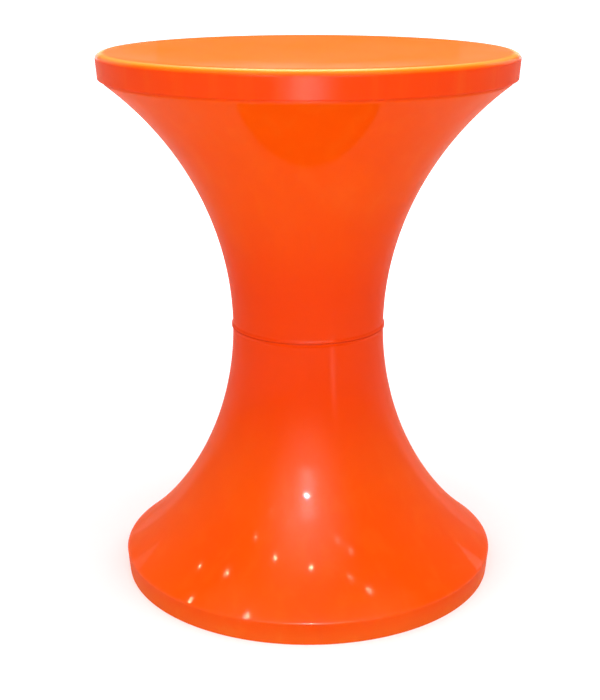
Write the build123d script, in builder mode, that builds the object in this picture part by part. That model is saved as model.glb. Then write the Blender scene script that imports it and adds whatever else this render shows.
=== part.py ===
# Storage stool of moulded plastic, in millimetres.
#
# Two identical trumpet-shaped halves meet neck to neck at the waist and lock with a
# bayonet of three hooks. A round seat rests on the upper rim and lifts off, and the
# upper half under it is a storage compartment. The stool stands on z = 0, centred on
# the Z axis.

import os
from math import sqrt

from build123d import *

os.makedirs("parts", exist_ok=True)

# Stool
stool_height = 440.0
fit_gap = 0.3  # play between pieces that slide into each other
overrun = 2.0  # how far a cut runs past the face it opens

# Half: outer form
waist_radius = 63.3
shoulder_radius = 160.9
band_height = 19.4  # upright band at the open rim
band_draft = 1.6  # how much narrower the band is at its rim than at the shoulder
shoulder_round = 2.4
rim_wall = 2.8
rim_round = 0.6
wall = 3.2
floor_recess = 1.0  # the neck's floor stays clear of the other half's floor
floor_round = 3.0
bead_proud = 1.0  # rounded bead on the neck's end, at the seam
bead_height = 3.2
seam_round = 0.45

# Half: bayonet in the neck's floor
hook_count = 3
hook_inner = 40.0
hook_outer = 52.0
hook_stem_angle = 8.0
hook_toe_angle = 20.0  # also the turn that unlocks the halves
hook_play_angle = 0.5
hook_toe_thickness = 3.0
hook_round = 0.8

# Seat
seat_plate = 3.0
seat_edge_round = 4.8
seat_edge_depth = 8.6  # height of the rounded edge that stands proud of the skirt
seat_edge_proud = 0.8
seat_edge_fade = 3.0  # height in which the edge falls back to the skirt
seat_edge_blend = 6.0
seat_depth = 20.0  # from the top down to the skirt's lower edge
skirt_wall = 3.7
skirt_round = 0.8
dish_depth = 2.0
dish_land = 3.8  # level plate between the dish and the ring under it
dish_blend = 60.0

# Seat: underside
ring_depth = 10.0  # ring that enters the upper rim
ring_wall = 2.4
rib_count = 12
rib_wall = 2.0
rib_depth = 8.0
hub_radius = 20.0
middle_ring_radius = 86.0

# Sizes that follow from the ones above
half_height = (stool_height - seat_plate) / 2
flare_height = half_height - band_height
flare_reach = shoulder_radius - waist_radius
flare_radius = (flare_reach**2 + flare_height**2) / (2 * flare_reach)
flare_centre = waist_radius + flare_radius
rim_radius = shoulder_radius - band_draft
rim_bore = rim_radius - rim_wall
neck_bore = waist_radius - wall
bead_radius = waist_radius + bead_proud
floor_top = floor_recess + wall
hook_length = floor_recess + floor_top + fit_gap + hook_toe_thickness
hook_period = 360 / hook_count
window_angle = hook_stem_angle + hook_toe_angle + 2 * hook_play_angle
stem_start = hook_period - window_angle + hook_play_angle


def flare_at(height, depth=0):
    """Radius of the trumpet at a height above the waist, and a depth into its wall."""
    return flare_centre - sqrt((flare_radius + depth) ** 2 - height**2)


def ring_sector(inner, outer, start, span):
    """Add a face between two radii, from a start angle through a span of degrees."""
    low = Edge.make_circle(inner, Plane.XY, start, start + span)
    high = Edge.make_circle(outer, Plane.XY, start, start + span)
    sides = [Edge.make_line(low @ end, high @ end) for end in (0, 1)]
    make_face([low, high, *sides])


# One moulding serves as both halves. Here its neck end lies on z = 0 and its open rim
# points up. The inner flare runs up to the bore of the band.
inner_shoulder = sqrt((flare_radius + wall) ** 2 - (flare_centre - rim_bore) ** 2)
inner_neck = flare_at(floor_top, wall)
bead_top = (flare_at(bead_height), bead_height)

with BuildPart() as half:
    with BuildSketch(Plane.XZ) as section:
        with BuildLine():
            Polyline(
                (0, floor_recess),
                (neck_bore, floor_recess),
                (neck_bore, 0),
                (bead_radius, 0),
            )
            Line((bead_radius, 0), (bead_radius, bead_height / 4))
            Bezier(
                (bead_radius, bead_height / 4),
                (bead_radius, bead_height / 2),
                (flare_at(bead_height / 2), bead_height / 2),
                bead_top,
            )
            ThreePointArc(
                bead_top,
                (flare_at(flare_height / 2), flare_height / 2),
                (shoulder_radius, flare_height),
            )
            Polyline(
                (shoulder_radius, flare_height),
                (rim_radius, half_height),
                (rim_bore, half_height),
                (rim_bore, inner_shoulder),
            )
            ThreePointArc(
                (rim_bore, inner_shoulder),
                (flare_at(inner_shoulder / 2, wall), inner_shoulder / 2),
                (inner_neck, floor_top),
            )
            Polyline((inner_neck, floor_top), (0, floor_top), (0, floor_recess))
        make_face()
        for corner, radius in (
            ((bead_radius, 0), seam_round),
            ((shoulder_radius, flare_height), shoulder_round),
            ((rim_radius, half_height), rim_round),
            ((rim_bore, half_height), rim_round),
            ((rim_bore, inner_shoulder), shoulder_round),
            ((inner_neck, floor_top), floor_round),
        ):
            fillet(section.vertices().sort_by_distance(corner)[0], radius)
    revolve(axis=Axis.Z)

    # Windows in the floor, through which the other half's hooks pass
    with BuildSketch(Plane.XY.offset(floor_recess - overrun)):
        for turn in range(hook_count):
            ring_sector(hook_inner - fit_gap, hook_outer + fit_gap, turn * hook_period, window_angle)
    extrude(amount=wall + 2 * overrun, mode=Mode.SUBTRACT)

    # Hooks: a stem down from the floor, and a toe to one side that catches behind the
    # other half's floor
    with BuildSketch(Plane.XY.offset(floor_recess)):
        for turn in range(hook_count):
            ring_sector(hook_inner, hook_outer, stem_start + turn * hook_period, hook_stem_angle)
    extrude(amount=-hook_length)
    toe_start = stem_start - hook_toe_angle
    with BuildSketch(Plane.XY.offset(floor_recess - hook_length)):
        for turn in range(hook_count):
            ring_sector(
                hook_inner,
                hook_outer,
                toe_start + turn * hook_period,
                hook_toe_angle + hook_stem_angle,
            )
    extrude(amount=hook_toe_thickness)
    fillet(half.edges().group_by(Axis.Z)[0].filter_by(GeomType.LINE), hook_round)

# Lower half: neck up, open rim on the floor
with BuildPart() as lower_body:
    with Locations(Location((0, 0, half_height), (180, 0, 0))):
        add(half.part)
lower_body.part.label = "lower_body"
export_step(lower_body.part, "parts/lower_body.step")

# Upper half: the same moulding, neck down
with BuildPart() as upper_body:
    with Locations(Location((0, 0, half_height))):
        add(half.part)
upper_body.part.label = "upper_body"
export_step(upper_body.part, "parts/upper_body.step")

# Seat: a shallow dished plate with a rounded edge, a skirt outside the upper rim and a
# ring inside it
rim_top = 2 * half_height
skirt_foot = stool_height - seat_depth
band_slope = band_draft / band_height
skirt_bore = rim_radius + (rim_top - skirt_foot) * band_slope + fit_gap
skirt_radius = skirt_bore + skirt_wall
seat_radius = skirt_radius + seat_edge_proud
edge_foot = stool_height - seat_edge_depth
ring_radius = rim_bore - fit_gap
ring_bore = ring_radius - ring_wall
ring_foot = rim_top - ring_depth
dish_radius = ring_bore - dish_land
dish_sphere = (dish_radius**2 + dish_depth**2) / (2 * dish_depth)


def dish_drop(radius):
    """How far the dish lies below the seat's flat rim at a radius."""
    if radius >= dish_radius:
        return 0
    return sqrt(dish_sphere**2 - radius**2) - dish_sphere + dish_depth


def dish_arc(inner, outer, height):
    """Arc along the dish between two radii, for a flat rim at a height."""
    middle = (inner + outer) / 2
    return ThreePointArc(
        (inner, height - dish_drop(inner)),
        (middle, height - dish_drop(middle)),
        (outer, height - dish_drop(outer)),
    )


rib_foot = rim_top - rib_depth
plate_middle = rim_top + seat_plate / 2

with BuildPart() as seat:
    with BuildSketch(Plane.XZ) as section:
        with BuildLine():
            dish_top = dish_arc(0, dish_radius, stool_height)
            edge_top = Line(dish_top @ 1, (seat_radius, stool_height))
            Polyline(
                edge_top @ 1,
                (seat_radius, edge_foot),
                (skirt_radius, edge_foot - seat_edge_fade),
                (skirt_radius, skirt_foot),
                (skirt_bore, skirt_foot),
                (skirt_bore, rim_top),
                (ring_radius, rim_top),
                (ring_radius, ring_foot),
                (ring_bore, ring_foot),
                (ring_bore, rim_top),
                (dish_radius, rim_top),
            )
            dish_arc(0, dish_radius, rim_top)
            Line((0, rim_top - dish_depth), (0, stool_height - dish_depth))
        make_face()
        for corner, radius in (
            ((dish_radius, stool_height), dish_blend),
            ((dish_radius, rim_top), dish_blend),
            ((seat_radius, stool_height), seat_edge_round),
            ((seat_radius, edge_foot), seat_edge_blend),
            ((skirt_radius, edge_foot - seat_edge_fade), seat_edge_blend),
            ((skirt_radius, skirt_foot), skirt_round),
            ((skirt_bore, skirt_foot), skirt_round),
            ((ring_radius, ring_foot), skirt_round),
        ):
            fillet(section.vertices().sort_by_distance(corner)[0], radius)
    revolve(axis=Axis.Z)

    # Ribs across the underside, from the hub out to the ring
    for turn in range(rib_count):
        with BuildSketch(Plane.XZ.rotated((0, 0, turn * 360 / rib_count))):
            with BuildLine():
                top = dish_arc(hub_radius, dish_radius, plate_middle)
                Polyline(
                    top @ 1,
                    (ring_bore + ring_wall / 2, plate_middle),
                    (ring_bore + ring_wall / 2, rib_foot),
                    (hub_radius, rib_foot),
                    top @ 0,
                )
            make_face()
        extrude(amount=rib_wall / 2, both=True)

    # Rings that tie the ribs together
    for radius in (hub_radius, middle_ring_radius):
        with BuildSketch(Plane.XZ):
            with BuildLine():
                top = dish_arc(radius - rib_wall / 2, radius + rib_wall / 2, plate_middle)
                Polyline(
                    top @ 1,
                    (radius + rib_wall / 2, rib_foot),
                    (radius - rib_wall / 2, rib_foot),
                    top @ 0,
                )
            make_face()
        revolve(axis=Axis.Z)
seat.part.label = "seat"
export_step(seat.part, "parts/seat.step")
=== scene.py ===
import math

import bmesh
import bpy
import numpy as np
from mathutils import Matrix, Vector


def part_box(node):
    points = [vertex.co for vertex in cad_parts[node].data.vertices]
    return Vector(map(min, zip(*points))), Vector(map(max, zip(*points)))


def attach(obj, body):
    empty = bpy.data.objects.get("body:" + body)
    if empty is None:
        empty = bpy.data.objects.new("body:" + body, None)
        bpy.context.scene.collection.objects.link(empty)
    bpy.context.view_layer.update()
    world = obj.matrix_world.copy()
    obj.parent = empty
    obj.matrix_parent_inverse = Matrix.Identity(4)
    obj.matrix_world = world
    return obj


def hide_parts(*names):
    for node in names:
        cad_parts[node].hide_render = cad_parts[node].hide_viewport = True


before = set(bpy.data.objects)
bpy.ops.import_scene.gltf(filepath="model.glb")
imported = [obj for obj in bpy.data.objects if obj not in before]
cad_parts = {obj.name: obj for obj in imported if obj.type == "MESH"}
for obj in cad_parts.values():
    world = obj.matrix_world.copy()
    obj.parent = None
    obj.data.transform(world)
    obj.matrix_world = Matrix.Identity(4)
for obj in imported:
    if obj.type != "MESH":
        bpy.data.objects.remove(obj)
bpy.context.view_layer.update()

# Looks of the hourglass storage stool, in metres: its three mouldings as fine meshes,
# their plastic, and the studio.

# Sizes read from the frame
seat_low, seat_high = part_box("seat")
upper_low, upper_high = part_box("upper_body")
stool_height = seat_high.z
seat_radius = seat_high.x
skirt_foot = seat_low.z
rim_top = upper_high.z
waist_height = rim_top / 2
hook_tip = waist_height - upper_low.z

# The halves
waist_radius = 0.0633
shoulder_radius = 0.1609
band_height = 0.0194
band_draft = 0.0016
shoulder_round = 0.0024
rim_wall = 0.0028
rim_round = 0.0006
wall = 0.0032
floor_recess = 0.001
floor_round = 0.003
bead_proud = 0.001
bead_height = 0.0032
bead_upright_share = 0.3
seam_round = 0.00045
seam_gap = 0.00002
hook_count = 3
hook_inner = 0.040
hook_outer = 0.052
hook_stem_angle = 8.0
hook_toe_angle = 20.0
hook_play_angle = 0.5
hook_toe_thickness = 0.003
hook_round = 0.0004
fit_gap = 0.0003
window_clear = 0.0012  # floor ring past the hooks, which the windows cut

# The seat
seat_plate = stool_height - rim_top
seat_edge_reach = 0.008
seat_edge_drop = 0.0045
seat_edge_proud = 0.0008
skirt_wall = 0.0037
skirt_round = 0.0008
dish_depth = 0.002
dish_land = 0.0038
dish_blend = 0.004
ring_depth = 0.010
ring_wall = 0.0024
rib_count = 12
rib_wall = 0.002
rib_depth = 0.008
rib_round = 0.0004
hub_radius = 0.020
middle_ring_radius = 0.086

# Marks of moulding: the gate's stub at each centre, and ejector pads under the seat
gate_radius = 0.003
gate_height = 0.0012
ejector_radius = 0.004
ejector_proud = 0.0003
ejector_place = 0.118
mark_round = 0.0001

# Sizes that follow from the ones above
flare_height = waist_height - band_height
flare_reach = shoulder_radius - waist_radius
flare_radius = (flare_reach**2 + flare_height**2) / (2 * flare_reach)
flare_centre = waist_radius + flare_radius
rim_radius = shoulder_radius - band_draft
rim_bore = rim_radius - rim_wall
neck_bore = waist_radius - wall
bead_radius = waist_radius + bead_proud
floor_top = floor_recess + wall
hook_period = 360 / hook_count
window_angle = hook_stem_angle + hook_toe_angle + 2 * hook_play_angle
stem_start = hook_period - window_angle + hook_play_angle
window_land = hook_outer + window_clear
ring_radius = rim_bore - fit_gap
ring_bore = ring_radius - ring_wall
dish_radius = ring_bore - dish_land
dish_sphere = (dish_radius**2 + dish_depth**2) / (2 * dish_depth)

# Mesh fineness
COLUMNS = 240
MARK_COLUMNS = 32
FLARE_ROWS = 64
BEAD_ROWS = 9
DISH_ROWS = 40
EDGE_ROWS = 16
TAPER_ROWS = 16
RIB_ROWS = 24
ARC_STEP = math.radians(12)
SECTOR_STEP = 2  # degrees
BEVEL_SEGMENTS = 3
BEVEL_ANGLE = math.radians(40)
SHARP_ANGLE = math.radians(38)
ON_AXIS = 1e-9  # a smaller radius lies on the axis


def flare_at(height, depth=0.0):
    """Radius of the trumpet at a height above the waist, and a depth into its wall."""
    return flare_centre - math.sqrt((flare_radius + depth) ** 2 - height**2)


def dish_drop(radius):
    """How far the dish lies below the seat's level rim at a radius."""
    if radius >= dish_radius:
        return 0.0
    return math.sqrt(dish_sphere**2 - radius**2) - dish_sphere + dish_depth


def ease(share):
    """Share between 0 and 1 with a soft start and end."""
    return share * share * (3 - 2 * share)


def rounded(corners):
    """Closed outline through (radius, height, round) corners, with each round as an arc."""
    points = []
    for i, (radius, height, turn) in enumerate(corners):
        here = np.array((radius, height))
        if turn == 0:
            points.append(here)
            continue
        before = np.array(corners[i - 1][:2]) - here
        after = np.array(corners[(i + 1) % len(corners)][:2]) - here
        before /= np.linalg.norm(before)
        after /= np.linalg.norm(after)
        half = math.acos(np.clip(before @ after, -1, 1)) / 2
        middle = (before + after) / np.linalg.norm(before + after)
        centre = here + middle * turn / math.sin(half)
        first = here + before * turn / math.tan(half) - centre
        last = here + after * turn / math.tan(half) - centre
        sweep = math.pi - 2 * half
        steps = max(2, math.ceil(sweep / ARC_STEP))
        for k in range(steps + 1):
            a = sweep * k / steps
            spread = (math.sin(sweep - a) * first + math.sin(a) * last) / math.sin(sweep)
            points.append(centre + spread)
    return points


def new_object(name, vertices, faces):
    """A mesh object with its faces turned outwards."""
    mesh = bpy.data.meshes.new(name)
    mesh.from_pydata([tuple(v) for v in vertices], [], faces)
    shape = bmesh.new()
    shape.from_mesh(mesh)
    bmesh.ops.recalc_face_normals(shape, faces=shape.faces)
    shape.to_mesh(mesh)
    shape.free()
    thing = bpy.data.objects.new(name, mesh)
    bpy.context.scene.collection.objects.link(thing)
    return thing


def lathe(name, outline, columns=COLUMNS):
    """Closed outline of (radius, height) points turned about Z. It may touch the axis."""
    turns = np.linspace(0, 2 * math.pi, columns, endpoint=False)
    vertices, rows = [], []
    for radius, height in outline:
        if radius < ON_AXIS:
            rows.append([len(vertices)] * columns)
            vertices.append((0, 0, height))
            continue
        rows.append(range(len(vertices), len(vertices) + columns))
        vertices += [(radius * math.cos(a), radius * math.sin(a), height) for a in turns]
    faces = []
    for row, after in zip(rows, rows[1:] + rows[:1]):
        for k in range(columns):
            n = (k + 1) % columns
            corners = list(dict.fromkeys((row[k], row[n], after[n], after[k])))
            if len(corners) > 2:
                faces.append(corners)
    return new_object(name, vertices, faces)


def sector_block(name, inner, outer, start, span, low, high):
    """Closed block between two radii, two angles in degrees and two heights."""
    steps = math.ceil(span / SECTOR_STEP)
    vertices = []
    for a in np.radians(np.linspace(start, start + span, steps + 1)):
        for radius, height in ((inner, low), (outer, low), (outer, high), (inner, high)):
            vertices.append((radius * math.cos(a), radius * math.sin(a), height))
    faces = [(0, 1, 2, 3), tuple(4 * steps + k for k in range(4))]
    for i in range(steps):
        for k in range(4):
            n = (k + 1) % 4
            faces.append((4 * i + k, 4 * i + n, 4 * i + 4 + n, 4 * i + 4 + k))
    return new_object(name, vertices, faces)


def settle(thing):
    """Apply the modifiers of an object to its mesh."""
    graph = bpy.context.evaluated_depsgraph_get()
    mesh = bpy.data.meshes.new_from_object(thing.evaluated_get(graph))
    thing.modifiers.clear()
    thing.data = mesh


def soften(thing, width):
    """Round the sharp edges of a small block."""
    bevel = thing.modifiers.new("soften", "BEVEL")
    bevel.width = width
    bevel.segments = BEVEL_SEGMENTS
    bevel.limit_method = "ANGLE"
    bevel.angle_limit = BEVEL_ANGLE
    settle(thing)


def combine(thing, other, operation):
    """Cut other from thing, or join it on, and remove other."""
    boolean = thing.modifiers.new(operation, "BOOLEAN")
    boolean.operation = operation
    boolean.solver = "EXACT"
    boolean.object = other
    settle(thing)
    bpy.data.objects.remove(other)


def join(thing, others):
    """Put the meshes of others into thing's mesh, as closed shells of their own."""
    shape = bmesh.new()
    for part in (thing, *others):
        shape.from_mesh(part.data)
    shape.to_mesh(thing.data)
    shape.free()
    for part in others:
        bpy.data.objects.remove(part)


def smooth(thing):
    """Shade round surfaces smooth and keep true edges crisp."""
    for face in thing.data.polygons:
        face.use_smooth = True
    thing.data.set_sharp_from_angle(angle=SHARP_ANGLE)
    weighted = thing.modifiers.new("even shading", "WEIGHTED_NORMAL")
    weighted.keep_sharp = True


def half_outline():
    """Section of one half, with its neck end on height 0 and its open rim up."""
    inner_shoulder = math.sqrt((flare_radius + wall) ** 2 - (flare_centre - rim_bore) ** 2)
    corners = [
        (0, floor_recess, 0),
        (hook_inner, floor_recess, 0),
        (window_land, floor_recess, 0),
        (neck_bore, floor_recess, 0),
        (neck_bore, seam_gap, 0),
        (bead_radius, seam_gap, seam_round),
    ]
    for share in np.linspace(bead_upright_share, 1, BEAD_ROWS):
        height = bead_height * share
        rise = (share - bead_upright_share) / (1 - bead_upright_share)
        corners.append((flare_at(height) + bead_proud * (1 - ease(rise)), height, 0))
    for height in np.linspace(bead_height, flare_height, FLARE_ROWS)[1:-1]:
        corners.append((flare_at(height), height, 0))
    corners += [
        (shoulder_radius, flare_height, shoulder_round),
        (rim_radius, waist_height, rim_round),
        (rim_bore, waist_height, rim_round),
        (rim_bore, inner_shoulder, shoulder_round),
    ]
    inner_foot = floor_top + 2 * floor_round
    for height in np.linspace(inner_shoulder, inner_foot, FLARE_ROWS)[1:]:
        corners.append((flare_at(height, wall), height, 0))
    corners += [
        (flare_at(floor_top, wall), floor_top, floor_round),
        (window_land, floor_top, 0),
        (hook_inner, floor_top, 0),
        (0, floor_top, 0),
    ]
    return rounded(corners)


def disc(name, centre, radius, low, high):
    """Small upright disc with softened rims, for the marks that moulding leaves."""
    outline = [(0, low, 0), (radius, low, mark_round), (radius, high, mark_round), (0, high, 0)]
    thing = lathe(name, rounded(outline), MARK_COLUMNS)
    for vertex in thing.data.vertices:
        vertex.co.x += centre[0]
        vertex.co.y += centre[1]
    return thing


def make_half(name):
    """One half: the turned shell, windows cut in its floor, and its three hooks."""
    shell = lathe(name, half_outline())
    floor_low, floor_high = floor_recess - wall, floor_top + wall
    for k in range(hook_count):
        turn = k * hook_period
        inner, outer = hook_inner - fit_gap, hook_outer + fit_gap
        window = sector_block("window", inner, outer, turn, window_angle, floor_low, floor_high)
        combine(shell, window, "DIFFERENCE")
    for k in range(hook_count):
        start = stem_start + k * hook_period
        toe = sector_block(
            "toe",
            hook_inner,
            hook_outer,
            start - hook_toe_angle,
            hook_toe_angle + hook_stem_angle,
            -hook_tip,
            hook_toe_thickness - hook_tip,
        )
        stem = sector_block(
            "stem",
            hook_inner,
            hook_outer,
            start,
            hook_stem_angle,
            -hook_tip + hook_toe_thickness / 2,
            floor_recess + wall / 2,
        )
        combine(toe, stem, "UNION")
        soften(toe, hook_round)
        join(shell, [toe])
    gate = disc("gate", (0, 0), gate_radius, floor_top - wall / 2, floor_top + gate_height)
    join(shell, [gate])
    return shell


def seat_outline():
    """Section of the seat, from the axis along the top, round the edge and back below."""
    skirt_radius = seat_radius - seat_edge_proud
    skirt_bore = skirt_radius - skirt_wall
    ring_foot = rim_top - ring_depth
    stations = [dish_radius * k / DISH_ROWS for k in range(DISH_ROWS)]
    corners = [(r, stool_height - dish_drop(r), 0) for r in stations]
    corners.append((dish_radius, stool_height, dish_blend))
    for turn in np.linspace(0, math.pi / 2, EDGE_ROWS):
        inset = seat_edge_reach * (1 - math.sin(turn))
        drop = seat_edge_drop * (1 - math.cos(turn))
        corners.append((seat_radius - inset, stool_height - drop, 0))
    edge_foot = stool_height - seat_edge_drop
    for share in np.linspace(0, 1, TAPER_ROWS)[1:-1]:
        inset = seat_edge_proud * ease(share)
        corners.append((seat_radius - inset, edge_foot + (skirt_foot - edge_foot) * share, 0))
    corners += [
        (skirt_radius, skirt_foot, skirt_round),
        (skirt_bore, skirt_foot, skirt_round),
        (skirt_bore, rim_top, 0),
        (ring_radius, rim_top, 0),
        (ring_radius, ring_foot, skirt_round),
        (ring_bore, ring_foot, rib_round),
        (ring_bore, rim_top, skirt_round),
        (dish_radius, rim_top, 0),
    ]
    corners += [(r, rim_top - dish_drop(r), 0) for r in reversed(stations)]
    return rounded(corners)


def make_rib(angle):
    """Rib under the seat plate, from the hub out to the ring, its top inside the plate."""
    foot = rim_top - rib_depth
    out = ring_bore + ring_wall / 2
    stations = np.linspace(hub_radius, out, RIB_ROWS)
    side = rib_wall / 2
    vertices = []
    for r in stations:
        top = rim_top + seat_plate / 2 - dish_drop(r)
        for y, z in (
            (-side, top),
            (-side, foot + rib_round),
            (-side + rib_round, foot),
            (side - rib_round, foot),
            (side, foot + rib_round),
            (side, top),
        ):
            x_turned = r * math.cos(angle) - y * math.sin(angle)
            y_turned = r * math.sin(angle) + y * math.cos(angle)
            vertices.append((x_turned, y_turned, z))
    around = 6
    last = around * (len(stations) - 1)
    faces = [tuple(range(around)), tuple(last + k for k in range(around))]
    for i in range(len(stations) - 1):
        for k in range(around):
            n = (k + 1) % around
            a, b = around * i, around * (i + 1)
            faces.append((a + k, a + n, b + n, b + k))
    return new_object("rib", vertices, faces)


def make_under_ring(radius):
    """Ring under the seat plate that ties the ribs together."""
    side = rib_wall / 2
    foot = rim_top - rib_depth
    top = rim_top + seat_plate / 2 - dish_drop(radius)
    corners = [
        (radius - side, top, 0),
        (radius - side, foot, rib_round),
        (radius + side, foot, rib_round),
        (radius + side, top, 0),
    ]
    return lathe("under_ring", rounded(corners))


def make_seat(name):
    """The seat: turned shell, ribs and rings under it, and the marks of its moulding."""
    shell = lathe(name, seat_outline())
    ribs = [make_rib(2 * math.pi * k / rib_count) for k in range(rib_count)]
    rings = [make_under_ring(radius) for radius in (hub_radius, middle_ring_radius)]
    centre_under = rim_top - dish_depth
    gate_low, gate_high = centre_under - gate_height, centre_under + seat_plate / 2
    marks = [disc("gate", (0, 0), gate_radius, gate_low, gate_high)]
    for k in range(rib_count):
        angle = 2 * math.pi * (k + 0.5) / rib_count
        centre = (ejector_place * math.cos(angle), ejector_place * math.sin(angle))
        under = rim_top - dish_drop(ejector_place)
        low, high = under - ejector_proud, under + seat_plate / 2
        marks.append(disc("ejector", centre, ejector_radius, low, high))
    join(shell, ribs + rings + marks)
    return shell


# Node trees


class Nodes:
    """Short way to add nodes to a material's or the world's tree and link them."""

    def __init__(self, owner):
        owner.use_nodes = True
        self.tree = owner.node_tree
        self.tree.nodes.clear()

    def add(self, kind, settings=None, **sockets):
        node = self.tree.nodes.new("ShaderNode" + kind)
        for key, value in (settings or {}).items():
            setattr(node, key, value)
        for key, value in sockets.items():
            self.put(node, key.replace("_", " "), value)
        return node

    def put(self, node, key, value):
        by_number = key[0] == "n" and key[1:].isdigit()
        socket = node.inputs[int(key[1:]) if by_number else key]
        if isinstance(value, bpy.types.NodeSocket):
            self.tree.links.new(value, socket)
        else:
            socket.default_value = value

    def noise(self, where, scale, detail=2.0, roughness=0.5, distortion=0.0):
        """Fac of a noise texture at a scale per metre."""
        node = self.add(
            "TexNoise",
            Vector=where,
            Scale=scale,
            Detail=detail,
            Roughness=roughness,
            Distortion=distortion,
        )
        return node.outputs[0]

    def stretch(self, where, scale, turn=0.0):
        """Coordinates turned about Z and scaled, for streaks."""
        node = self.add("Mapping", Vector=where, Rotation=(0, 0, turn), Scale=scale)
        return node.outputs[0]

    def ramp(self, value, low, high, to_low=0.0, to_high=1.0):
        """Value mapped from low..high to to_low..to_high, clamped, with a soft start and end."""
        node = self.add(
            "MapRange",
            {"interpolation_type": "SMOOTHSTEP"},
            Value=value,
        )
        keys = ("From Min", "From Max", "To Min", "To Max")
        for key, number in zip(keys, (low, high, to_low, to_high)):
            node.inputs[key].default_value = number
        return node.outputs[0]

    def math(self, operation, a, b=0.0):
        """Result of a math node."""
        node = self.add("Math", {"operation": operation}, n0=a, n1=b)
        return node.outputs[0]

    def distance(self, a, b):
        """How far two values lie apart."""
        return self.math("ABSOLUTE", self.math("SUBTRACT", a, b))

    def more(self, value, mask, amount):
        """Value with an amount added under a mask."""
        return self.math("ADD", value, self.math("MULTIPLY", mask, amount))

    def less(self, value, mask, amount):
        """Value with an amount taken off under a mask."""
        return self.math("SUBTRACT", value, self.math("MULTIPLY", mask, amount))

    def mix(self, share, a, b):
        """Colour a with a share of colour b laid over it."""
        node = self.add("Mix", {"data_type": "RGBA"})
        self.put(node, "n0", share)
        self.put(node, "n6", a)
        self.put(node, "n7", b)
        return node.outputs[2]


ORANGE = (0.97, 0.090, 0.0015, 1)
ORANGE_DEEP = (0.93, 0.070, 0.0010, 1)
ORANGE_PALE = (0.98, 0.130, 0.007, 1)
# Deeper orange of the neck: painted shade of the waist, which the seat keeps from the light above
ORANGE_NECK_SHADE = (0.93, 0.056, 0.0006, 1)
# Paler orange of the foot band: painted light all round it, and stronger where it is worn
ORANGE_FOOT_LIGHT_AND_WEAR = (0.98, 0.150, 0.014, 1)
# Dark red in the seam between the halves: painted shade of the groove
SEAM_SHADE = (0.62, 0.022, 0.0005, 1)
# The seat's orange is the halves' plastic painted deeper: painted shade of its skirt
SEAT_ORANGE_SHADED = (0.97, 0.060, 0.0008, 1)
SEAT_DEEP_SHADED = (0.95, 0.048, 0.0005, 1)
# Paler, yellower orange of the seat's top: painted light from above
ORANGE_TOP_LIT = (0.97, 0.168, 0.004, 1)
# Yellow-orange on the crest of the seat's edge: a painted highlight
ORANGE_EDGE_HIGHLIGHT = (1.0, 0.34, 0.02, 1)

# Distances from the waist between which the neck's painted shade fades out
NECK_NEAR, NECK_FAR = 0.03, 0.13

# Shader values that both plastics share
SHADER_VALUES = {
    "IOR": 1.45,
    "Specular IOR Level": 0.0,
    "Subsurface Weight": 0.12,
    "Subsurface Radius": (1.0, 0.25, 0.08),
    "Subsurface Scale": 0.004,
    "Coat Roughness": 0.07,
    "Coat IOR": 1.45,
}

# Noise of the pigment, the relief and the wear: scale per metre, detail, roughness, distortion
CLOUD = (11, 3, 0.55, 0.4)
FLOW = (1, 3, 0.5, 0.3)
FLOW_STRETCH = (60, 60, 5)
STREAK = (1, 2, 0.5, 0.15)
WAVE = (13, 1, 0.4)
PEEL = (420, 2, 0.5)
FOOT_GRAIN = (55, 5, 0.6)
BODY_SMUDGE = (26, 5, 0.62, 0.6)
SEAT_SMUDGE = (22, 5, 0.6, 0.6)

# Ranges of a noise between which what it drives goes from none to full
CLOUD_RANGE = (0.35, 0.7)
FLOW_RANGE = (0.45, 0.75)
SCRATCH_RANGE = (0.70, 0.74)
WORN_RANGE = (0.5, 0.66)
SMUDGE_RANGE = (0.35, 0.7)

# Hairline scratches: turn of each set, and how far its noise is stretched
SCRATCH_SETS = ((0.4, 7.0), (1.5, 9.0), (2.5, 6.0))
SCRATCH_ACROSS, SCRATCH_UP = 620, 90

# Relief: strength and height of each bump, in metres
WAVE_BUMP = {"Strength": 0.2, "Distance": 0.0006}
PEEL_BUMP = {"Strength": 0.03, "Distance": 0.00006}
SCRATCH_BUMP = {"Strength": 0.12, "Distance": 0.00003}

# Shares that colours and gloss are mixed by
CLOUD_SHARE = 0.5
FLOW_SHARE = 0.22
# Share of the foot band's painted light, and of the wear on top of it
FOOT_LIGHT_SHARE, WORN_SHARE = 0.6, 0.4
# Strength of the painted shade in the seam
SEAM_SHADE_SHARE = 0.5
# Strength of the painted highlight on the seat edge's crest
CREST_HIGHLIGHT_SHARE = 0.7

# Roughness: its range over the smudges, and what wear adds
BODY_ROUGH = (0.28, 0.34)
SEAT_ROUGH = (0.34, 0.42)
BODY_SCRATCH_ROUGH, BODY_WORN_ROUGH = 0.12, 0.18
SEAT_SCRATCH_ROUGH, SEAT_TOP_ROUGH = 0.08, 0.1

# Weight of the gloss: its range over the smudges, what wear takes, what the shoulder gains
BODY_COAT = (0.17, 0.13)
SEAT_COAT = (0.17, 0.14)
WORN_COAT, SCRATCH_COAT = 0.06, 0.05
SEAT_TOP_COAT = 0.08
SHOULDER_COAT = 0.12


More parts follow.
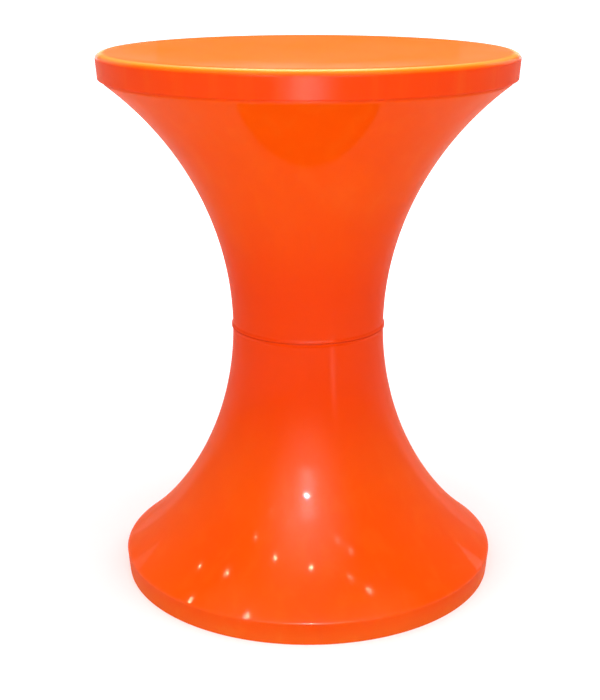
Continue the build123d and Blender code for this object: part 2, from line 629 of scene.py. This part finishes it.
class Plastic:
    """Node tree of a glossy moulded plastic, with the parts that both mouldings share."""

    def __init__(self, name):
        self.material = bpy.data.materials.new(name)
        nodes = self.nodes = Nodes(self.material)
        self.where = nodes.add("TexCoord").outputs["Object"]
        split = nodes.add("SeparateXYZ", Vector=self.where)
        x, y, self.height = (split.outputs[k] for k in range(3))
        squares = (nodes.math("MULTIPLY", axis, axis) for axis in (x, y))
        self.radius = nodes.math("SQRT", nodes.math("ADD", *squares))

    def pigment(self, plain, deep):
        """Cloudy pigment between two colours, with faint flow lines from the gate."""
        nodes = self.nodes
        cloud = nodes.noise(self.where, *CLOUD)
        flow = nodes.noise(nodes.stretch(self.where, FLOW_STRETCH), *FLOW)
        colour = nodes.mix(nodes.ramp(cloud, *CLOUD_RANGE, 0, CLOUD_SHARE), plain, deep)
        return nodes.mix(nodes.ramp(flow, *FLOW_RANGE, 0, FLOW_SHARE), colour, ORANGE_PALE)

    def hairlines(self):
        """Mask of fine scratches in three directions."""
        nodes = self.nodes
        mask = 0.0
        for turn, along in SCRATCH_SETS:
            where = nodes.stretch(self.where, (SCRATCH_ACROSS, along, SCRATCH_UP), turn)
            streak = nodes.noise(where, *STREAK)
            mask = nodes.math("MAXIMUM", nodes.ramp(streak, *SCRATCH_RANGE), mask)
        return mask

    def relief(self, scratches):
        """Normal with slow waves of shrinkage, fine orange peel and scratches."""
        nodes = self.nodes
        wave = nodes.noise(self.where, *WAVE)
        peel = nodes.noise(self.where, *PEEL)
        bump = nodes.add("Bump", Height=wave, **WAVE_BUMP)
        bump = nodes.add("Bump", Height=peel, Normal=bump.outputs[0], **PEEL_BUMP)
        settings = {"invert": True}
        bump = nodes.add("Bump", settings, Height=scratches, Normal=bump.outputs[0], **SCRATCH_BUMP)
        return bump.outputs[0]

    def shade(self, colour, roughness, coat):
        """Shader of the plastic: matt pigment under a thin sharp gloss."""
        nodes = self.nodes
        shader = nodes.add("BsdfPrincipled", Base_Color=colour, Roughness=roughness)
        normal = self.relief(self.scratches)
        nodes.put(shader, "Normal", normal)
        nodes.put(shader, "Coat Normal", normal)
        nodes.put(shader, "Coat Weight", coat)
        for key, value in SHADER_VALUES.items():
            shader.inputs[key].default_value = value
        nodes.add("OutputMaterial", Surface=shader.outputs[0])
        return self.material


def make_body_plastic():
    """Plastic of the two halves: painted shade deepens the neck and darkens the seam, and the foot
    band is scuffed and painted paler as painted light.
    """
    plastic = Plastic("body_plastic")
    nodes = plastic.nodes
    plastic.scratches = plastic.hairlines()
    grain = nodes.noise(plastic.where, *FOOT_GRAIN)
    foot = nodes.math(
        "MULTIPLY",
        nodes.ramp(plastic.radius, rim_bore, rim_bore + rim_wall / 2),
        nodes.ramp(plastic.height, 0, band_height, 1, 0),
    )
    worn = nodes.math("MULTIPLY", foot, nodes.ramp(grain, *WORN_RANGE))
    # Painted light: the foot band is paler all round, and more where the grain marks wear
    foot_light_and_wear = nodes.math(
        "ADD",
        nodes.math("MULTIPLY", foot, FOOT_LIGHT_SHARE),
        nodes.math("MULTIPLY", worn, WORN_SHARE),
    )
    from_waist = nodes.distance(plastic.height, waist_height)
    # Painted shade: the neck's colour deepens toward the waist
    neck_shade = nodes.ramp(from_waist, NECK_NEAR, NECK_FAR, 1, 0)
    # Painted shade: a thin dark line along the seam
    seam_shade = nodes.ramp(from_waist, seam_round / 2, 2 * seam_round, SEAM_SHADE_SHARE, 0)
    colour = nodes.mix(neck_shade, plastic.pigment(ORANGE, ORANGE_DEEP), ORANGE_NECK_SHADE)
    colour = nodes.mix(foot_light_and_wear, colour, ORANGE_FOOT_LIGHT_AND_WEAR)
    colour = nodes.mix(seam_shade, colour, SEAM_SHADE)
    smudge = nodes.noise(plastic.where, *BODY_SMUDGE)
    rough = nodes.ramp(smudge, *SMUDGE_RANGE, *BODY_ROUGH)
    rough = nodes.more(rough, plastic.scratches, BODY_SCRATCH_ROUGH)
    rough = nodes.more(rough, worn, BODY_WORN_ROUGH)
    coat = nodes.ramp(smudge, *SMUDGE_RANGE, *BODY_COAT)
    coat = nodes.less(coat, worn, WORN_COAT)
    coat = nodes.less(coat, plastic.scratches, SCRATCH_COAT)
    from_shoulder = nodes.distance(plastic.height, band_height)
    polished = nodes.ramp(from_shoulder, shoulder_round / 2, shoulder_round, SHOULDER_COAT, 0)
    return plastic.shade(colour, rough, nodes.math("ADD", coat, polished))


def make_seat_plastic():
    """Plastic of the seat. Its top is duller from use, and painted a little paler and yellower as
    painted light from above; the rest is painted deeper as painted shade, with a painted highlight on
    the edge's crest.
    """
    plastic = Plastic("seat_plastic")
    nodes = plastic.nodes
    plastic.scratches = plastic.hairlines()
    edge_foot = stool_height - seat_edge_drop
    edge_start = seat_radius - seat_edge_reach
    edge_middle = seat_radius - seat_edge_reach / 2
    top = nodes.ramp(plastic.height, edge_foot, stool_height - seat_edge_drop / 4)
    top = nodes.math("MAXIMUM", top, nodes.ramp(plastic.radius, dish_radius, ring_bore, 1, 0))
    top = nodes.math("MULTIPLY", top, nodes.ramp(plastic.height, rim_top - dish_depth, rim_top))
    # Crest of the seat's edge, which gets a painted highlight
    crest = nodes.math(
        "MULTIPLY",
        nodes.ramp(plastic.radius, edge_start, edge_middle),
        nodes.ramp(plastic.height, edge_foot + seat_edge_drop / 2, stool_height - seat_edge_drop / 8),
    )
    # Painted light on the top, painted shade on the rest of the seat
    colour = nodes.mix(top, plastic.pigment(SEAT_ORANGE_SHADED, SEAT_DEEP_SHADED), ORANGE_TOP_LIT)
    colour = nodes.mix(nodes.math("MULTIPLY", crest, CREST_HIGHLIGHT_SHARE), colour, ORANGE_EDGE_HIGHLIGHT)
    smudge = nodes.noise(plastic.where, *SEAT_SMUDGE)
    rough = nodes.ramp(smudge, *SMUDGE_RANGE, *SEAT_ROUGH)
    rough = nodes.more(rough, top, SEAT_TOP_ROUGH)
    rough = nodes.more(rough, plastic.scratches, SEAT_SCRATCH_ROUGH)
    flat = nodes.ramp(plastic.radius, edge_start, edge_middle, 1, 0)
    coat = nodes.ramp(smudge, *SMUDGE_RANGE, *SEAT_COAT)
    coat = nodes.less(coat, nodes.math("MULTIPLY", top, flat), SEAT_TOP_COAT)
    return plastic.shade(colour, rough, coat)


def dress(thing, body, node, material):
    """Finish a piece: its shading, material, body, and the CAD node it stands for."""
    smooth(thing)
    thing.data.materials.clear()
    thing.data.materials.append(material)
    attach(thing, body)
    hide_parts(node)


body_plastic = make_body_plastic()
seat_plastic = make_seat_plastic()

lower = make_half("lower_moulding")
for vertex in lower.data.vertices:
    x, y, z = vertex.co
    vertex.co = (x, -y, waist_height - z)
upper = make_half("upper_moulding")
for vertex in upper.data.vertices:
    vertex.co.z += waist_height
seat = make_seat("seat_moulding")

dress(lower, "lower", "lower_body", body_plastic)
dress(upper, "upper", "upper_body", body_plastic)
dress(seat, "seat", "seat", seat_plastic)


# Camera at the photograph's angle. Pixels are of the 600 by 700 frame.
FRAME_SIZE = (600, 700)
FOCAL_PIXELS = 1292
AXIS_PIXEL = 308.1
OPTICAL_PIXEL = 431.7
CAMERA_PLACE = Vector((0, -1.0513, 0.5248))
CAMERA_PITCH = math.radians(21.09)
CLIP_START = 0.02

lens = bpy.data.cameras.new("camera")
lens.lens = FOCAL_PIXELS / FRAME_SIZE[1] * lens.sensor_width
lens.shift_x = (FRAME_SIZE[0] / 2 - AXIS_PIXEL) / FRAME_SIZE[1]
lens.shift_y = (OPTICAL_PIXEL - FRAME_SIZE[1] / 2) / FRAME_SIZE[1]
lens.clip_start = CLIP_START
camera = bpy.data.objects.new("camera", lens)
camera.location = CAMERA_PLACE
camera.rotation_euler = (math.pi / 2 - CAMERA_PITCH, 0, 0)
bpy.context.scene.collection.objects.link(camera)
bpy.context.scene.camera = camera
bpy.context.scene.view_settings.view_transform = "Standard"


# Studio: pale floor, white surroundings, soft light from above and a small lamp in front
WHITE = (1, 1, 1, 1)
WARM = (1, 0.82, 0.5)
WORLD_LIGHT = 0.53
CEILING_GLOW = 0.3
CEILING_LOW, CEILING_HIGH = 0.25, 0.75  # rise of the view, as a sine, over which it dims
FLOOR_COLOUR = (0.8, 0.8, 0.8, 1)
FLOOR_SIZE = 30.0
FLOOR_LIFT_NEAR, FLOOR_LIFT_FAR = 0.25, 0.9
FLOOR_NEAR, FLOOR_FAR = 0.2, 1.2

# Soft light: places, what they shine at, widths and heights, brightness and reach
OVERHEAD = {
    "place": (0, -0.32, 2.4),
    "target": (0, -0.32, 0),
    "size": (4.4, 2.4),
    "radiance": 5.6,
}
OVERHEAD_FADE = (1.3, 0.55, 1)
REAR_FILL_PLACE = (1.6, 1.9, 1.3)
REAR_FILL_TARGET = (0, 0, 0.25)
REAR_FILL_SIZE = (1.2, 1.2)
REAR_FILL_LEFT, REAR_FILL_RIGHT = 1.2, 2.4

# Cards that show in the gloss alone: at the back on the seat's top and edge, low at the back
# on the flanks, and in front on the skirt
BACK_PANEL = {
    "place": (0, 1.6, 1.7),
    "target": (0, 0, stool_height),
    "size": (1.6, 2.0),
    "radiance": 26,
    "colour": WARM,
}
BACK_PANEL_FADE = (0.42, 1.1, 0.9)
LOW_CARD = {
    "place": (0, 2.4, 0.48),
    "target": (0, 0, 0.5),
    "size": (2.6, 0.16),
    "radiance": 3,
}
SIDE_CARD_PLACE = (0.95, 2.3, 0.58)
SIDE_CARD = {
    "target": (0, 0, 0.5),
    "size": (1.2, 0.4),
    "radiance": 4,
}
SIDE_CARD_FADE = (0.45, 0.45, 0.16)
FRONT_CARD = {
    "place": (-0.006, -0.5, 0.36),
    "target": (0, 0, 0.4),
    "size": (0.26, 0.12),
    "radiance": 17,
}
FRONT_CARD_FADE = (0.075, 1, 0.2)

# The lamp in front shows in the lower half as a bright spot in the haze of its umbrella, and
# a slim card as a streak, at these pixels of the photograph
FLASH_PIXEL = (307, 495)
FLASH_DISTANCE = 1.1
FLASH_AHEAD = 0.02  # how far the bare lamp stands before the key light's plane
FLASH_SIZE = (0.062, 0.011)
FLASH_GLOW = 3000
FLASH_SPREAD = math.radians(12)
KEY_SIZE = (0.6, 0.6)
KEY_GLOW = 3.0
UMBRELLA_PIXEL = (307, 508)
UMBRELLA_SIZE = (2.4, 1.5)
UMBRELLA_GLOW = 12
UMBRELLA_FADE = (0.55, 0.36, 0.36)
SLIM_PIXEL = (333, 372)
SLIM_DISTANCE = 0.45
SLIM_SIZE = (0.10, 0.24)
SLIM_GLOW = 6
SLIM_FADE = (0.022, 0.1, 0.055)

# Small ceiling lamps show there as sparkles: pixel of each, and its share of the full size
SPARKLES = {
    (272, 512): 0.60,
    (288, 522): 0.60,
    (256, 537): 0.75,
    (337, 540): 0.60,
    (351, 551): 0.65,
    (275, 558): 1.0,
    (311, 568): 1.0,
    (200, 566): 0.65,
    (227, 573): 1.0,
    (350, 578): 0.65,
    (369, 591): 0.75,
    (191, 599): 0.65,
    (248, 614): 0.60,
}
CEILING = 2.6
CEILING_LAMP_SIZE = (0.065, 0.045)
CEILING_LAMP_GLOW = 750

# Small card close in front of the foot's shoulder, for the bright dot there
GLINT_DISTANCE = 0.085
GLINT_OFFSET = 0.035
GLINT_RISE = math.radians(46)
GLINT_SIZE = (0.006, 0.02)
GLINT_GLOW = 1500
GLINT_SPREAD = math.radians(25)


def background_share(nodes):
    """1 where the camera sees a surface, directly or in a mirror or glass, and 0 for light."""
    path = nodes.add("LightPath")
    seen = nodes.math("MAXIMUM", path.outputs["Is Camera Ray"], path.outputs["Is Glossy Ray"])
    return nodes.math("MAXIMUM", seen, path.outputs["Is Transmission Ray"])


def make_floor():
    """Pale matt floor. Only where the camera or a mirror sees it, it glows toward white."""
    signs = ((-1, -1), (1, -1), (1, 1), (-1, 1))
    corners = [(x * FLOOR_SIZE, y * FLOOR_SIZE, 0) for x, y in signs]
    thing = new_object("floor", corners, [(0, 1, 2, 3)])
    material = bpy.data.materials.new("floor")
    nodes = Nodes(material)
    where = nodes.add("TexCoord").outputs["Object"]
    away = nodes.add("VectorMath", {"operation": "LENGTH"}, n0=where).outputs["Value"]
    lift = nodes.ramp(away, FLOOR_NEAR, FLOOR_FAR, FLOOR_LIFT_NEAR, FLOOR_LIFT_FAR)
    matte = nodes.add("BsdfDiffuse", Color=FLOOR_COLOUR)
    glow = nodes.add("Emission", Color=WHITE, Strength=lift)
    both = nodes.add("AddShader", n0=matte.outputs[0], n1=glow.outputs[0])
    share = background_share(nodes)
    shown = nodes.add("MixShader", n0=share, n1=matte.outputs[0], n2=both.outputs[0])
    nodes.add("OutputMaterial", Surface=shown.outputs[0])
    thing.data.materials.append(material)


def make_world():
    """Even light, with a white background that dims toward the ceiling."""
    world = bpy.data.worlds.new("studio")
    bpy.context.scene.world = world
    nodes = Nodes(world)
    plain = nodes.add("Background", Color=WHITE, Strength=WORLD_LIGHT)
    where = nodes.add("TexCoord").outputs["Generated"]
    rise = nodes.add("SeparateXYZ", Vector=where).outputs[2]
    glow = nodes.ramp(rise, CEILING_LOW, CEILING_HIGH, 1.0, CEILING_GLOW)
    white = nodes.add("Background", Color=WHITE, Strength=glow)
    share = background_share(nodes)
    shown = nodes.add("MixShader", n0=share, n1=plain.outputs[0], n2=white.outputs[0])
    nodes.add("OutputWorld", Surface=shown.outputs[0])


def area_lamp(name, place, target, size, radiance, colour=WHITE[:3], shape="RECTANGLE"):
    """Lamp that shines at a target. The camera doesn't see it."""
    light = bpy.data.lights.new(name, "AREA")
    light.shape = shape
    light.color = colour
    light.size, light.size_y = size
    area = size[0] * size[1] * (math.pi / 4 if shape == "ELLIPSE" else 1)
    light.energy = radiance * math.pi * area
    lamp = bpy.data.objects.new(name, light)
    bpy.context.scene.collection.objects.link(lamp)
    lamp.location = place
    aim = Vector(target) - Vector(place)
    pitch = math.atan2(math.hypot(aim.x, aim.y), -aim.z)
    lamp.rotation_euler = (pitch, 0, math.atan2(-aim.x, aim.y))
    lamp.visible_camera = False
    return lamp


def gloss_card(*settings, **more):
    """Lamp that shows in the gloss alone and adds no light to the colour."""
    card = area_lamp(*settings, **more)
    card.visible_diffuse = False
    return card


def narrow(lamp, angle):
    """Keep a lamp's light within an angle of its axis, with the same brightness on the axis."""
    lamp.data.spread = 2 * angle
    lamp.data.energy *= 1 - angle / math.tan(angle)


def fade_lamp(lamp, reach):
    """Let a lamp dim from its centre out, as the cloth of a lit umbrella does."""
    nodes = Nodes(lamp.data)
    place = nodes.add("NewGeometry").outputs["Position"]
    centre = tuple(lamp.location)
    away = nodes.add("VectorMath", {"operation": "SUBTRACT"}, n0=place, n1=centre).outputs[0]
    share = nodes.add("VectorMath", {"operation": "DIVIDE"}, n0=away, n1=reach).outputs[0]
    square = nodes.add("VectorMath", {"operation": "DOT_PRODUCT"}, n0=share, n1=share)
    fall = nodes.math("MULTIPLY", square.outputs["Value"], -1.0)
    glow = nodes.add("Emission", Color=WHITE, Strength=nodes.math("EXPONENT", fall))
    nodes.add("OutputLight", Surface=glow.outputs[0])


def mirror(pixel):
    """Spot of the lower half that a pixel shows, and the direction of its reflection."""
    right, up, back = camera.rotation_euler.to_matrix().transposed()
    across, rise = pixel[0] - AXIS_PIXEL, OPTICAL_PIXEL - pixel[1]
    ray = (right * across + up * rise - back * FOCAL_PIXELS).normalized()
    spot = lower.ray_cast(CAMERA_PLACE, ray)[1]
    radius = math.hypot(spot.x, spot.y)
    lean = (flare_centre - radius) / radius
    normal = Vector((spot.x * lean, spot.y * lean, waist_height - spot.z)).normalized()
    return spot, ray.reflect(normal)


def light_from_behind_and_above():
    """Soft lamps overhead and behind, and the cards at the back."""
    fade_lamp(area_lamp("overhead", **OVERHEAD), OVERHEAD_FADE)
    fade_lamp(gloss_card("back_panel", **BACK_PANEL), BACK_PANEL_FADE)
    gloss_card("low_card", **LOW_CARD)
    for name, side, radiance in (("left", -1, REAR_FILL_LEFT), ("right", 1, REAR_FILL_RIGHT)):
        x, y, z = SIDE_CARD_PLACE
        card = gloss_card(f"side_card_{name}", place=(side * x, y, z), **SIDE_CARD)
        fade_lamp(card, SIDE_CARD_FADE)
        x, y, z = REAR_FILL_PLACE
        place = (side * x, y, z)
        area_lamp(f"rear_fill_{name}", place, REAR_FILL_TARGET, REAR_FILL_SIZE, radiance)


def light_from_the_front():
    """The lamp in front with its umbrella, and the cards in front."""
    fade_lamp(gloss_card("front_card", **FRONT_CARD), FRONT_CARD_FADE)
    spot, way = mirror(SLIM_PIXEL)
    card = gloss_card("slim_card", spot + way * SLIM_DISTANCE, spot, SLIM_SIZE, SLIM_GLOW)
    fade_lamp(card, SLIM_FADE)
    spot, way = mirror(UMBRELLA_PIXEL)
    place = spot + way * FLASH_DISTANCE
    card = gloss_card("umbrella", place, spot, UMBRELLA_SIZE, UMBRELLA_GLOW, shape="ELLIPSE")
    fade_lamp(card, UMBRELLA_FADE)
    spot, way = mirror(FLASH_PIXEL)
    key = area_lamp("front_key", spot + way * FLASH_DISTANCE, spot, KEY_SIZE, KEY_GLOW)
    key.visible_glossy = False
    place = spot + way * (FLASH_DISTANCE - FLASH_AHEAD)
    narrow(gloss_card("flash", place, spot, FLASH_SIZE, FLASH_GLOW), FLASH_SPREAD)


def sparkles():
    """Small ceiling lamps that show in the lower half, and the dot on its shoulder."""
    for pixel, share in SPARKLES.items():
        spot, way = mirror(pixel)
        place = spot + way * (CEILING - spot.z) / way.z
        size = [share * side for side in CEILING_LAMP_SIZE]
        gloss_card(f"ceiling_lamp_{pixel[0]}", place, spot, size, CEILING_LAMP_GLOW, WARM)
    spot = Vector((0, -shoulder_radius, band_height))
    way = Vector((GLINT_OFFSET, -math.cos(GLINT_RISE), math.sin(GLINT_RISE)))
    card = gloss_card("shoulder_glint", spot + way * GLINT_DISTANCE, spot, GLINT_SIZE, GLINT_GLOW)
    narrow(card, GLINT_SPREAD)


make_floor()
make_world()
light_from_behind_and_above()
light_from_the_front()
sparkles()
